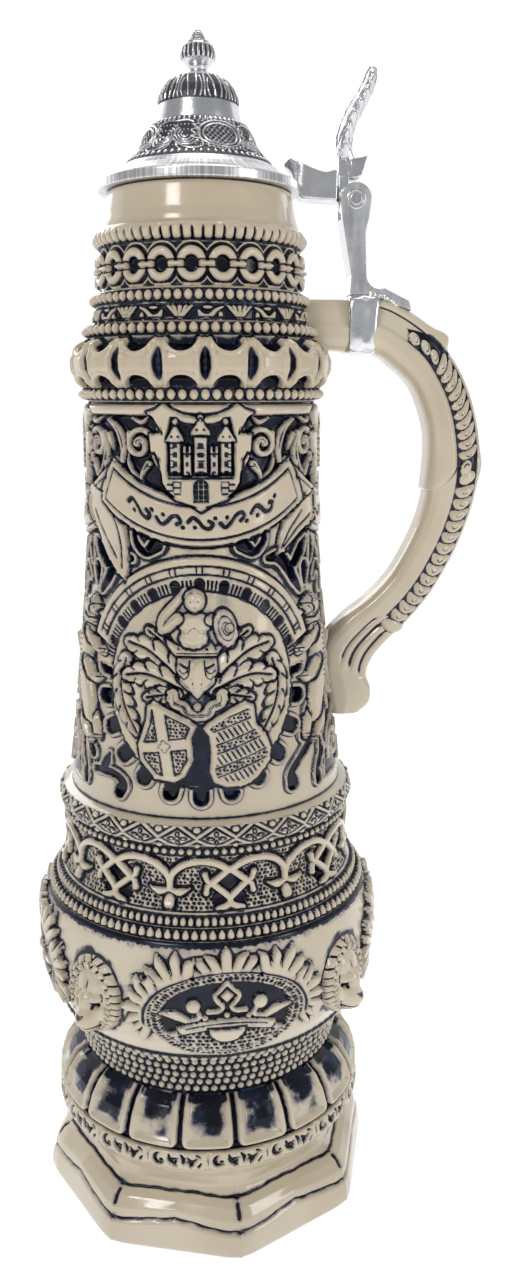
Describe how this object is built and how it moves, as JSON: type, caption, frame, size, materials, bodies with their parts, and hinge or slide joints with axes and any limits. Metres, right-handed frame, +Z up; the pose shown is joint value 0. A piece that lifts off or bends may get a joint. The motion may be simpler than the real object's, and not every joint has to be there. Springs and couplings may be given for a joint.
{
  "type": "beer stein",
  "caption": "Tall stoneware stein with relief bands, a globular bowl, an octagonal foot, a scaled bow handle and a hinged pewter lid with thumblift and finial.",
  "frame": {"origin": "centre of the foot's underside, on the vessel's axis", "axes": "+Z up along the vessel's axis, +X towards the handle and hinge, +Y along the hinge pin"},
  "size_m": [0.2155, 0.169, 0.546],
  "materials": {
    "stoneware": "glossy salt glaze, buff relief over cobalt blue grounds",
    "pewter": "cast pewter, bright on turned edges, dark in the recesses",
    "steel": "plain steel wire and screw"
  },
  "bodies": {
    "mug": {"barrel": "stoneware", "bowl": "stoneware", "foot": "stoneware", "lion_masks": "stoneware", "handle": "stoneware", "strap_band": "pewter", "shank": "pewter", "hinge_pin": "steel"},
    "lid": {"lid_plate": "pewter", "lid_dome": "pewter", "lid_cap": "pewter", "finial": "pewter", "finial_screw": "steel", "hinge_arm": "pewter", "thumblift": "pewter"}
  },
  "joints": [
    {"name": "lid_hinge", "type": "hinge", "parent": "mug", "child": "lid", "pos_m": [0.0685, 0, 0.4778], "axis": [0, 1, 0], "range_deg": [0, 100]}
  ]
}
